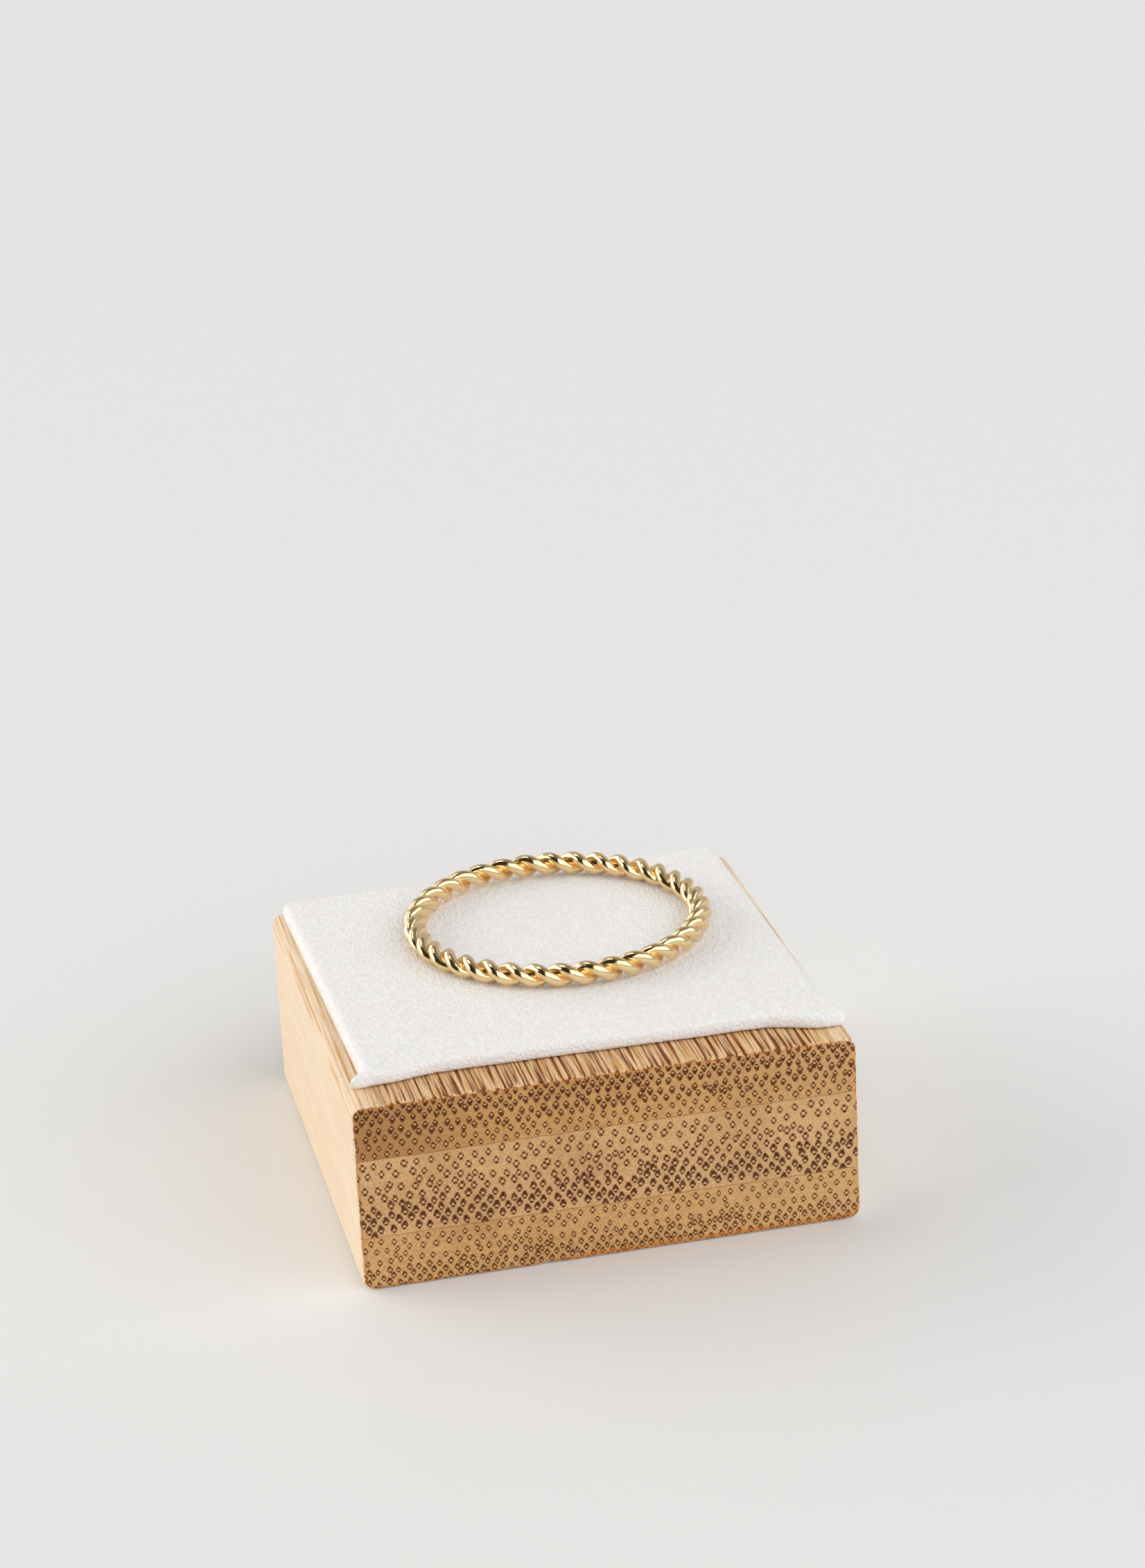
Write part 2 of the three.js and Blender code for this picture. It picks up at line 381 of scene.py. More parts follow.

# End grain: how its colours come in. The left and right ones go by millimetres to that side of the
# middle, and the inward one by depth under the skin. The right one is painted light: the sawn ends
# grow paler towards the right, where light from the front right would fall.
LEFT_SHADE_FADE = (4.0, 17.0, 0.60)
RIGHT_PAINTED_LIGHT_FADE = (-2.0, 17.0, 0.25)
INWARD_PALE_FADE = (0.15, 0.75, 0.35)
BOTTOM_PALENESS = 0.35
BLOTCH_FADE = (0.56, 0.34, 0.25)
FINE_SHADE_FADE = (0.40, 0.62, 0.40)
FINE_GAP_FADE = (0.40, 0.66, 0.30)
DARK_STRENGTH = 1.08
CORE_STRENGTH = 0.6
RIM_RAGGEDNESS = 0.45
RIM_FADE = (0.40, 0.08, 0.72)
RIM_BUNDLE_STRENGTH = 0.8
BURNT_RIM_FADE = (-5.5, -1.0, 0.28)
BURNT_RIM_HEIGHT = 1.0

# Sides and top: the bands that show near the sides' upper edge, and the streaks of the top, which
# give way to the sides' colour, painted paler as painted light, near the block's edges
SIDE_FIBRE_RANGE = (0.3, 0.7)
SIDE_BAND_RANGE = (0.50, 0.60)
SIDE_BAND_REACH = 1.3
SIDE_BAND_STRENGTH = 0.10
SIDE_BAND_STRENGTH_AT_TOP = 0.75
TOP_FIBRE_RANGE = (0.35, 0.65)
STREAK_RANGE = (0.46, 0.60)
STREAK_FIBRE_FADE = (0.36, 0.60, 0.4)
STREAK_BASE = 0.75
FINE_STREAK_FADE = (0.54, 0.68, 0.4)
STREAK_SIDE_RANGE = (0.8, 3.2)
TOP_EDGE_FADE = (2.4, 0.6, 0.8)

# Relief of the bamboo, as shares of its depth in millimetres
BAMBOO_RELIEF = 0.02
FINE_RELIEF = 0.35
BUNDLE_RELIEF = 0.2
SEAM_RELIEF = 0.4
FIBRE_RELIEF = 0.5

# Fibre bundles from the skin inwards: how far apart they are across and in height, where each zone
# starts and ends as a share of the layer's depth under the skin, and their size
BUNDLE_ZONES = (
    {"across": 0.84, "rise": 0.56, "start": -0.2, "end": 0.38, "size": 0.95},
    {"across": 0.89, "rise": 0.62, "start": 0.37, "end": 0.64, "size": 1.0},
    {"across": 0.97, "rise": 0.71, "start": 0.63, "end": 1.2, "size": 1.0},
)
BUNDLE_ROOM_ACROSS = 0.60
BUNDLE_ROOM_UP = 0.74
BUNDLE_JITTER = 0.30
OUTER_LAYER_CROWDING = 0.20
LAYER_SHIFT = 7.3
BUNDLE_LEAST_SIZE = 0.90
BUNDLE_SIZE_SPREAD = 0.20
BUNDLE_TILT_SPREAD = 0.35

# The marks of one bundle in millimetres: half widths and half heights, how far the marks lie from its
# middle, and how much they gain near the skin
HOOD = {
    "up": 0.19, "width": 0.125, "height": 0.10,
    "up_gain": 0.02, "width_gain": 0.055, "height_gain": 0.12}
DOT = {"down": 0.195, "width": 0.14, "height": 0.11}
ARCS = {
    "aside": 0.165, "width": 0.07, "height": 0.13,
    "up_gain": 0.04, "width_gain": 0.03, "height_gain": 0.04}
ARCS_STRENGTH = 0.9
CORE = {"width": 0.09, "height": 0.09, "down_gain": 0.05}
CORE_CUT = 0.9
DISC_RIM_RANGE = (1.32, 0.62)
SKIN_RANGE = (0.62, 0.22)
TOP_SKIN_SHIFT = 0.25
BOTTOM_SKIN_CUT = 0.45

# How the bundles' rows sway across and climb along the end grain
SWAY = 0.5
SWAY_RATES = (0.3, 0.07, 0.3)
SWAY_NOISE = {"detail": 1.0}
CLIMB = 0.14
CLIMB_RATES = (0.8, 0.09, 0.3)
CLIMB_NOISE = {"detail": 2.0}


def layer_facts(z):
    """Which layer a height is in (0, 1, 2 upwards), its depth under the skin, and which way is in."""
    in_middle = z.over(LOWER_GLUE_LINE)
    in_top = z.over(UPPER_GLUE_LINE)
    layer = in_middle + in_top
    depth_bottom = z / LOWER_GLUE_LINE
    depth_middle = (z - LOWER_GLUE_LINE) / (UPPER_GLUE_LINE - LOWER_GLUE_LINE)
    depth_top = (BLOCK_HEIGHT - z) / (BLOCK_HEIGHT - UPPER_GLUE_LINE)
    depth = depth_bottom * (1.0 - in_middle) + depth_middle * (in_middle - in_top) + depth_top * in_top
    inward = 1.0 - in_top * 2.0
    return layer, depth, inward


def soft_disc(dx, dz, half_width, half_height):
    """1 inside an oval and 0 outside it, with a soft rim."""
    return (dx / half_width).length(dz / half_height).between(*DISC_RIM_RANGE)


def nearest_bundle(tree, x, z, zone, layer):
    """The bundle of one zone that lies nearest to a point: its place, two lucky numbers that are its
    own, its depth under the skin, the way in, how crowded its layer is, and 1 if the zone and the
    layer really hold it."""
    crowding = (layer - 1.0).size() * OUTER_LAYER_CROWDING + 1.0
    across = x * crowding / zone["across"] + layer * LAYER_SHIFT
    rise = z * crowding / (2.0 * zone["rise"])
    cells = tree.nodes.new("ShaderNodeTexVoronoi")
    cells.voronoi_dimensions = "2D"
    cells.inputs["Scale"].default_value = 1.0
    cells.inputs["Randomness"].default_value = BUNDLE_JITTER
    feed(tree, cells.inputs["Vector"], vector_of(tree, across + rise, across - rise, 0.0))
    up_right, down_right, _ = parts_of(tree, cells.outputs["Position"])
    luck, second_luck, _ = parts_of(tree, cells.outputs["Color"])
    centre_x = ((up_right + down_right) * 0.5 - layer * LAYER_SHIFT) * zone["across"] / crowding
    centre_z = (up_right - down_right) * zone["rise"] / crowding
    centre_layer, depth, inward = layer_facts(centre_z)
    in_zone = depth.over(zone["start"]) * depth.under(zone["end"])
    in_layer = (centre_layer - layer).size().under(0.5)
    return {
        "x": centre_x, "z": centre_z, "luck": luck, "second_luck": second_luck,
        "depth": depth, "inward": inward, "crowding": crowding, "held": in_zone * in_layer}


def bundle_marks(tree, x, z, zone, outer_zone, layer):
    """The dark caps and the pale core of the fibre bundles of one zone. Far from the skin a bundle has
    four small caps. Near it the cap on the inner side grows into a hood. A bundle that would touch
    one of the zone outside it is left out."""
    bundle = nearest_bundle(tree, x, z, zone, layer)
    held = bundle["held"]
    if outer_zone is not None:
        other = nearest_bundle(tree, bundle["x"], bundle["z"], outer_zone, layer)
        apart_x = (bundle["x"] - other["x"]) / BUNDLE_ROOM_ACROSS
        apart_z = (bundle["z"] - other["z"]) / BUNDLE_ROOM_UP
        too_near = (apart_x.length(apart_z) * bundle["crowding"]).under(1.0)
        held = held * (1.0 - other["held"] * too_near)
    size = bundle["luck"] * BUNDLE_SIZE_SPREAD + BUNDLE_LEAST_SIZE
    size = size * zone["size"] / bundle["crowding"]
    dx = (x - bundle["x"]) / size
    dz = (z - bundle["z"]) / size * bundle["inward"]
    tilt = bundle["second_luck"].swing(BUNDLE_TILT_SPREAD)
    dx, dz = dx + dz * tilt, dz - dx * tilt
    skin_depth = bundle["depth"] - layer.over(TOP_LAYER_FROM) * TOP_SKIN_SHIFT
    near_skin = skin_depth.between(*SKIN_RANGE)
    near_skin = near_skin * (1.0 - layer.under(BOTTOM_LAYER_TO) * BOTTOM_SKIN_CUT)
    hood = soft_disc(
        dx,
        dz - near_skin * HOOD["up_gain"] - HOOD["up"],
        near_skin * HOOD["width_gain"] + HOOD["width"],
        near_skin * HOOD["height_gain"] + HOOD["height"])
    dot = soft_disc(dx, dz + DOT["down"], DOT["width"], DOT["height"])
    arcs = soft_disc(
        dx.size() - ARCS["aside"],
        dz - near_skin * ARCS["up_gain"],
        near_skin * ARCS["width_gain"] + ARCS["width"],
        near_skin * ARCS["height_gain"] + ARCS["height"])
    core = soft_disc(dx, dz + near_skin * CORE["down_gain"], CORE["width"], CORE["height"])
    dark = hood.most(dot).most(arcs * ARCS_STRENGTH) * (1.0 - core * CORE_CUT)
    return dark * held, core * held


def end_grain_colour(tree, x, z, depth, in_top, in_bottom, dark, core, noises):
    """The colour of the sawn ends: each layer's ground, its bundles and the darker rim."""
    fine, rough, blotches = noises
    base = mixed(tree, in_top, END_MIDDLE_COLOUR, END_TOP_COLOUR)
    base = mixed(tree, in_bottom, base, END_BOTTOM_COLOUR)
    to_left = (x * -1.0).fade(*LEFT_SHADE_FADE) * in_top
    base = mixed(tree, blotches.fade(*BLOTCH_FADE).most(to_left), base, END_SHADED_COLOUR)
    base = mixed(tree, fine.fade(*FINE_SHADE_FADE), base, END_SHADED_COLOUR)
    # Painted light: the sawn ends are painted paler towards the right, where light from the front right
    # would fall.
    base = mixed(tree, x.fade(*RIGHT_PAINTED_LIGHT_FADE), base, END_CORE_COLOUR)
    paleness = depth.fade(*INWARD_PALE_FADE) + in_bottom * BOTTOM_PALENESS
    bundle_colour = mixed(tree, paleness, BUNDLE_COLOUR, PALE_BUNDLE_COLOUR)
    patchy = dark * (DARK_STRENGTH - fine.fade(*FINE_GAP_FADE))
    colour = mixed(tree, core * CORE_STRENGTH, base, END_CORE_COLOUR)
    colour = mixed(tree, patchy.held(), colour, bundle_colour)
    from_rim = (BLOCK_WIDTH / 2.0 - x.size()).least(z).least(BLOCK_HEIGHT - z)
    ragged = from_rim + rough.swing(RIM_RAGGEDNESS)
    burnt = x.fade(*BURNT_RIM_FADE) * z.under(BURNT_RIM_HEIGHT)
    rim_colour = mixed(tree, dark * RIM_BUNDLE_STRENGTH, RIM_COLOUR, CUT_BUNDLE_COLOUR)
    return mixed(tree, (ragged - burnt).fade(*RIM_FADE), colour, rim_colour)


def long_grain_colour(tree, x, y, z, upward, fibres):
    """The colour of the sides, painted paler than the top as painted light, and of the top with its dark
    streaks.
    """
    across, along = BAND_RATES
    bands = noise_at(tree, vector_of(tree, x * across, y * along, z * across), **BAND_NOISE)
    # Painted light: the sides get a paler copy of the long grain's colour than the top, standing in for the
    # strong light on the left side.
    painted_light_side_colour = mixed(tree, fibres.between(*SIDE_FIBRE_RANGE), SIDE_FIBRE_PAINTED_LIGHT_COLOUR, SIDE_PAINTED_LIGHT_COLOUR)
    near_top = z.fade(BLOCK_HEIGHT - SIDE_BAND_REACH, BLOCK_HEIGHT, SIDE_BAND_STRENGTH_AT_TOP)
    banded = bands.between(*SIDE_BAND_RANGE) * (near_top + SIDE_BAND_STRENGTH)
    painted_light_side_colour = mixed(tree, banded, painted_light_side_colour, SIDE_BAND_COLOUR)
    top_colour = mixed(tree, fibres.between(*TOP_FIBRE_RANGE), TOP_FIBRE_COLOUR, TOP_COLOUR)
    streaks = bands.between(*STREAK_RANGE) * (fibres.fade(*STREAK_FIBRE_FADE) + STREAK_BASE)
    streaks = (streaks + fibres.fade(*FINE_STREAK_FADE)).held()
    from_side = BLOCK_WIDTH / 2.0 - x.size()
    streaks = streaks * from_side.between(*STREAK_SIDE_RANGE)
    top_colour = mixed(tree, streaks, top_colour, TOP_STREAK_COLOUR)
    top_colour = mixed(tree, from_side.fade(*TOP_EDGE_FADE), top_colour, painted_light_side_colour)
    return mixed(tree, upward.between(*TOP_FACE_RANGE), painted_light_side_colour, top_colour)


def seams_at(tree, place, x, z, in_top, in_bottom):
    """1 in the glue lines between the layers, and less in the butt joints between their strips."""
    wobble = noise_at(tree, place, **WOBBLE_NOISE).swing(GLUE_LINE_WOBBLE)
    lower = (z + wobble - LOWER_GLUE_LINE).size()
    upper = (z + wobble - UPPER_GLUE_LINE).size()
    seam = lower.least(upper).between(*GLUE_LINE_RANGE)
    butts = ((TOP_LEFT_BUTT, in_top), (TOP_RIGHT_BUTT, in_top), (BOTTOM_BUTT, in_bottom))
    for butt_x, in_layer in butts:
        cut = (x + wobble - butt_x).size().fade(*BUTT_FADE)
        seam = seam.most(cut * in_layer)
    return seam


def bamboo_material():
    material, tree, shader = new_material("laminated_bamboo")
    x, y, z = place_in_millimetres(tree)
    place = vector_of(tree, x, y, z)
    normal = tree.nodes.new("ShaderNodeNewGeometry").outputs["Normal"]
    _, normal_y, normal_z = parts_of(tree, normal)
    fine = noise_at(tree, place, **FINE_NOISE)
    rough = noise_at(tree, place, **ROUGH_NOISE)
    blotches = noise_at(tree, place, **BLOTCH_NOISE)

    across, along, up = SWAY_RATES
    sway = noise_at(tree, vector_of(tree, x * across, y * along, z * up), **SWAY_NOISE).swing(SWAY)
    across, along, up = CLIMB_RATES
    climb = noise_at(tree, vector_of(tree, z * up, y * along, x * across), **CLIMB_NOISE).swing(CLIMB)
    layer, depth, _ = layer_facts(z + climb)
    in_top = layer.over(TOP_LAYER_FROM)
    in_bottom = layer.under(BOTTOM_LAYER_TO)
    dark, core = bundle_marks(tree, x + sway, z + climb, BUNDLE_ZONES[0], None, layer)
    for outer_zone, zone in zip(BUNDLE_ZONES, BUNDLE_ZONES[1:]):
        zone_dark, zone_core = bundle_marks(tree, x + sway, z + climb, zone, outer_zone, layer)
        dark = dark.most(zone_dark)
        core = core.most(zone_core)
    noises = (fine, rough, blotches)
    end_colour = end_grain_colour(tree, x, z, depth, in_top, in_bottom, dark, core, noises)

    across, along = FIBRE_RATES
    fibres = noise_at(tree, vector_of(tree, x * across, y * along, z * across), **FIBRE_NOISE)
    long_colour = long_grain_colour(tree, x, y, z, normal_z, fibres)
    end_grain = (normal_y.size() + rough.swing(END_FACE_RAGGEDNESS)).between(*END_FACE_RANGE)
    colour = mixed(tree, end_grain, long_colour, end_colour)
    seam = seams_at(tree, place, x, z, in_top, in_bottom)
    glued = seam * (end_grain * GLUE_STRENGTH_AT_END + GLUE_STRENGTH)
    colour = mixed(tree, glued, colour, GLUE_COLOUR)

    feed(tree, shader.inputs["Base Color"], colour)
    shader.inputs["Roughness"].default_value = BAMBOO_ROUGHNESS
    shader.inputs["Specular IOR Level"].default_value = BAMBOO_SPECULAR
    height = fine * FINE_RELIEF - dark * BUNDLE_RELIEF - seam * SEAM_RELIEF
    height = height + fibres * (1.0 - end_grain) * FIBRE_RELIEF
    feed(tree, shader.inputs["Normal"], bumped(tree, height, BAMBOO_RELIEF))
    return material


# The floor: a plain pale board
FLOOR_COLOUR = (0.86, 0.86, 0.85, 1.0)
FLOOR_ROUGHNESS = 0.55


def floor_material():
    material, _, shader = new_material("pale_floor")
    shader.inputs["Base Color"].default_value = FLOOR_COLOUR
    shader.inputs["Roughness"].default_value = FLOOR_ROUGHNESS
    return material


def mesh_object(name, points, faces, material, body=None):
    """A smooth-shaded object from points in millimetres."""
    mesh = bpy.data.meshes.new(name)
    mesh.from_pydata([(p[0] * MM, p[1] * MM, p[2] * MM) for p in points], [], faces)
    mesh.polygons.foreach_set("use_smooth", [True] * len(mesh.polygons))
    mesh.materials.append(material)
    mesh.update()
    piece = bpy.data.objects.new(name, mesh)
    bpy.context.collection.objects.link(piece)
    if body is not None:
        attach(piece, body)
    return piece


# The rope: two round wires twisted into a ring
WIRE_DIAMETER = 0.85
ROPE_DIAMETER = 2.0 * WIRE_DIAMETER
FINGER_HOLE_DIAMETER = 18.9
ROPE_CENTRE_RADIUS = (FINGER_HOLE_DIAMETER + ROPE_DIAMETER) / 2.0
TWIST_PITCH = 3.6
TWISTS = round(FULL_TURN * ROPE_CENTRE_RADIUS / TWIST_PITCH)
TWIST_RATE = TWISTS / ROPE_CENTRE_RADIUS
SOLDER_CORE_RADIUS = 0.20
SOLDER_SHARPNESS = 8
SECTIONS_PER_TWIST = 44
POINTS_PER_SECTION = 72
HELIX_SAMPLES = 60
HALVINGS = 26
LOBE_VARIATION = 0.012
LOBE_NOISE = {"rate": 6.0, "seed": 3.1}
TWIST_VARIATION = 0.05
TWIST_NOISE = {"rate": 4.0, "seed": 7.7}


def distance_to_wire(x, y):
    """How far a point of the rope's section lies from the helix that the wire's centre follows."""
    radius = WIRE_DIAMETER / 2.0
    nearest = WIRE_DIAMETER
    for i in range(-HELIX_SAMPLES, HELIX_SAMPLES + 1):
        along = WIRE_DIAMETER * i / HELIX_SAMPLES
        dx = x - radius * math.cos(TWIST_RATE * along)
        dy = y - radius * math.sin(TWIST_RATE * along)
        nearest = min(nearest, math.hypot(along, dx, dy))
    return nearest


def section_radius(angle):
    """How far the rope's surface lies from its centre, at an angle from the line through both wires."""
    turned = abs((angle + QUARTER_TURN) % math.pi - QUARTER_TURN)
    outside = ROPE_DIAMETER / 2.0
    inside = WIRE_DIAMETER / 2.0 * math.cos(turned)
    for _ in range(HALVINGS):
        middle = (inside + outside) / 2.0
        if distance_to_wire(middle * math.cos(turned), middle * math.sin(turned)) < WIRE_DIAMETER / 2.0:
            inside = middle
        else:
            outside = middle
    filled = outside ** SOLDER_SHARPNESS + SOLDER_CORE_RADIUS ** SOLDER_SHARPNESS
    return filled ** (1.0 / SOLDER_SHARPNESS)


def looped_noise(angle, rate, seed):
    """A smooth value between -1 and 1 that comes back to its start after a full turn."""
    return noise.noise(Vector((math.cos(angle) * rate, math.sin(angle) * rate, seed)))


def rope_ring():
    """The ring: the rope's section is worked out once, and then turned on its way round the finger."""
    centre = (RING_LOW + RING_HIGH) / 2.0 / MM
    radii = [section_radius(FULL_TURN * j / POINTS_PER_SECTION) for j in range(POINTS_PER_SECTION)]
    sections = TWISTS * SECTIONS_PER_TWIST
    points = []
    faces = []
    for i in range(sections):
        around = FULL_TURN * i / sections
        scale = 1.0 - LOBE_VARIATION * (1.0 + looped_noise(around, **LOBE_NOISE))
        turn_here = TWISTS * around + TWIST_VARIATION * looped_noise(around, **TWIST_NOISE)
        for j in range(POINTS_PER_SECTION):
            turn = turn_here + FULL_TURN * j / POINTS_PER_SECTION
            radius = radii[j] * scale
            reach = ROPE_CENTRE_RADIUS + radius * math.sin(turn)
            points.append((
                centre.x + reach * math.cos(around),
                centre.y + reach * math.sin(around),
                centre.z + radius * math.cos(turn)))
            a = i * POINTS_PER_SECTION + j
            b = i * POINTS_PER_SECTION + (j + 1) % POINTS_PER_SECTION
            c = (i + 1) % sections * POINTS_PER_SECTION + j
            d = (i + 1) % sections * POINTS_PER_SECTION + (j + 1) % POINTS_PER_SECTION
            faces.append((a, b, d, c))
    piece = mesh_object("gold_rope_ring", points, faces, gold_material(), "root")
    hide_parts("rope_ring")
    return piece


def eased(share):
    """A share held between 0 and 1, with a soft start and end."""
    share = min(max(share, 0.0), 1.0)
    return share * share * (3.0 - 2.0 * share)


def soft_bump(distance, reach):
    """1 at no distance, 0 from reach onwards, eased between them."""
    return eased(1.0 - distance / reach)


def past(value, low, high):
    """How far a value has to move to come back between a low and a high one."""
    return max(low - value, 0.0) - max(value - high, 0.0)


def unit_noise(point, rates, shift=0.0):
    """A smooth value between 0 and 1 that changes along each axis at its own rate."""
    x, y, z = (value * rate for value, rate in zip(point, rates))
    return 0.5 + 0.5 * noise.noise(Vector((x, y, z + shift)))


def skin(rings):
    """Points and faces of a closed body from rings with equal counts of points, a fan at each end."""
    count = len(rings[0])
    points = [point for ring in rings for point in ring]
    faces = []
    for i in range(len(rings) - 1):
        for j in range(count):
            a = i * count + j
            b = i * count + (j + 1) % count
            faces.append((a, b, b + count, a + count))
    for first, ring, turned in ((0, rings[0], True), (len(points) - count, rings[-1], False)):
        middle = len(points)
        points.append(tuple(sum(point[k] for point in ring) / count for k in range(3)))
        for j in range(count):
            a = first + j
            b = first + (j + 1) % count
            faces.append((middle, b, a) if turned else (middle, a, b))
    return points, faces


# The block: its four long edges are well rounded, and its sawn ends have a narrow, ragged rim
BLOCK_LONG_EDGE_RADIUS = 0.85
BLOCK_RIM_RADIUS = 0.30
END_FACE_INSET = 1.3 * BLOCK_RIM_RADIUS
BLOCK_STEP = 0.27
RIM_STEPS = 6
RAGGEDNESS = 0.07
RAGGED_RATES = (2.2, 1.1, 2.2)
RAGGED_REACH = 2.5 * BLOCK_RIM_RADIUS
SAW_WAVES = 0.03
SAW_WAVE_RATES = (0.5, 0.12, 0.5)
WORN_MARGIN = 1.0

# Small chips in the block's edges: where they are, how wide and how deep
CHIPS = (
    {"place": (-17.4, -11.6, 13.5), "reach": 0.55, "depth": 0.22},
    {"place": (-4.6, -17.5, 0.1), "reach": 1.2, "depth": 0.16},
    {"place": (9.5, -17.5, 13.6), "reach": 0.7, "depth": 0.12},
)
CHIP_RATES = (4.0, 4.0, 4.0)
CHIP_LEAST = 0.1
CHIP_SPREAD = 1.2


def arc_points(x, y, radius, start, steps):
    """A quarter of a circle round x and y, with both its ends."""
    points = []
    for i in range(steps + 1):
        angle = start + QUARTER_TURN * i / steps
        points.append((x + radius * math.cos(angle), y + radius * math.sin(angle)))
    return points


def straight_points(start, end, step):
    """The points between two ends, without the ends, about one step apart."""
    steps = max(round(math.dist(start, end) / step), 1)
    return [
        (start[0] + (end[0] - start[0]) * i / steps, start[1] + (end[1] - start[1]) * i / steps)
        for i in range(1, steps)]


def drawn_in(outline, inset):
    """A closed anticlockwise outline, drawn in by an inset along its own normals."""
    count = len(outline)
    moved = []
    for i, (x, y) in enumerate(outline):
        before = outline[i - 1]
        after = outline[(i + 1) % count]
        along_x = after[0] - before[0]
        along_y = after[1] - before[1]
        length = math.hypot(along_x, along_y)
        moved.append((x - along_y / length * inset, y + along_x / length * inset))
    return moved


def block_section():
    """The block's outline seen from the front: across and height."""
    radius = BLOCK_LONG_EDGE_RADIUS
    x = BLOCK_WIDTH / 2.0 - radius
    corners = [
        arc_points(x, radius, radius, -QUARTER_TURN, RIM_STEPS),
        arc_points(x, BLOCK_HEIGHT - radius, radius, 0.0, RIM_STEPS),
        arc_points(-x, BLOCK_HEIGHT - radius, radius, QUARTER_TURN, RIM_STEPS),
        arc_points(-x, radius, radius, 2.0 * QUARTER_TURN, RIM_STEPS)]
    outline = []
    for corner, following in zip(corners, corners[1:] + corners[:1]):
        outline += corner + straight_points(corner[-1], following[0], BLOCK_STEP)
    return outline


def worn(x, y, z):
    """A point of the block after sawing, sanding and a few knocks, which pull it a little inwards from
    the long faces near it."""
    point = Vector((x, y, z))
    pull = SAW_WAVES * unit_noise(point, SAW_WAVE_RATES)
    to_end = BLOCK_DEPTH / 2.0 - abs(y)
    pull += RAGGEDNESS * unit_noise(point, RAGGED_RATES) * soft_bump(to_end, RAGGED_REACH)
    for chip in CHIPS:
        away = math.dist(point, chip["place"])
        if away < chip["reach"]:
            torn = CHIP_LEAST + CHIP_SPREAD * unit_noise(point, CHIP_RATES)
            pull += chip["depth"] * torn * soft_bump(away, chip["reach"])
    half_width = BLOCK_WIDTH / 2.0 - WORN_MARGIN
    sideways = past(x, -half_width, half_width)
    upwards = past(z, WORN_MARGIN, BLOCK_HEIGHT - WORN_MARGIN)
    inward = Vector((sideways, 0.0, upwards)).normalized()
    return tuple(point + inward * pull)


def bamboo_block():
    """The block as closed rings of points from the front to the back, narrower at its two rims."""
    half = BLOCK_DEPTH / 2.0
    rim = []
    for i in range(RIM_STEPS + 1):
        angle = QUARTER_TURN * i / RIM_STEPS
        inset = BLOCK_RIM_RADIUS * (1.0 - math.sin(angle))
        rim.append((inset, BLOCK_RIM_RADIUS * (1.0 - math.cos(angle))))
    levels = [(END_FACE_INSET, -half)] + [(inset, -half + back) for inset, back in rim]
    start = half - BLOCK_RIM_RADIUS
    steps = round(2.0 * start / BLOCK_STEP)
    levels += [(0.0, -start + 2.0 * start * i / steps) for i in range(1, steps)]
    levels += [(inset, half - back) for inset, back in reversed(rim)] + [(END_FACE_INSET, half)]
    section = block_section()
    rings = [[worn(x, y, z) for x, z in drawn_in(section, inset)] for inset, y in levels]
    points, faces = skin(rings)
    piece = mesh_object("bamboo_block_body", points, faces, bamboo_material(), "root")
    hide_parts("bamboo_block")
    return piece


# The pad's outline, from its box in the frame: its sides lean a little, its front edge has two ears,
# its front right corner flares out, and a folded lip of the sheet sticks out at the front left one
PAD_LEFT = -16.0
PAD_RIGHT = PAD_HIGH.x / MM - 0.24
PAD_BACK = PAD_HIGH.y / MM
PAD_FRONT = -BLOCK_DEPTH / 2.0 + 3.45
PAD_LEFT_LEAN = 0.021
PAD_RIGHT_LEAN = 0.013
PAD_FRONT_SLOPE = -0.012
PAD_CORNER_RADIUS = 0.82
PAD_EDGE_WIDTH = 0.80
PAD_EDGE_FULLNESS = 0.70
PAD_EDGE_STEPS = 14
PAD_SHOULDER = 0.14
PAD_FOOT_INSET = 0.38
PAD_STEP = 0.14
PAD_LONG_STEP = 3.0 * PAD_STEP
PAD_RINGS = 46
PAD_CROWN = 0.07
PAD_CROWN_SHARE = 0.25

# The pad's soft waves: height, rates across and along, and the shift that tells one from another
PAD_WAVES = (
    {"height": 0.035, "rates": (0.22, 0.22, 0.0), "shift": 5.0},
    {"height": 0.021, "rates": (0.7, 0.45, 0.0), "shift": 9.0},
)
FRONT_WAVE = {"height": 0.20, "rates": (0.35, 0.0, 0.0), "shift": 2.0}
LEFT_EAR = {"reach": 0.85, "near": -15.4, "far": -10.2}
RIGHT_EAR = {"reach": 1.25, "near": 15.6, "far": 11.8}
RIGHT_FLARE = {"reach": 0.65, "near": -14.5, "far": -11.5, "from": 12.0}
LIP_SIDE = -14.0
LIP_REACH = 1.15
LIP_TIP = -14.50
LIP_NOTCH = -13.95
LIP_FRONT = -15.25


def pad_front_at(x):
    """The y of the pad's front edge at a distance across."""
    ears = 0.0
    for ear in (LEFT_EAR, RIGHT_EAR):
        ears += ear["reach"] * eased((x - ear["far"]) / (ear["near"] - ear["far"]))
    wave = unit_noise((x, 0.0, 0.0), FRONT_WAVE["rates"], FRONT_WAVE["shift"])
    return PAD_FRONT + PAD_FRONT_SLOPE * x - ears + FRONT_WAVE["height"] * (wave - 0.5)


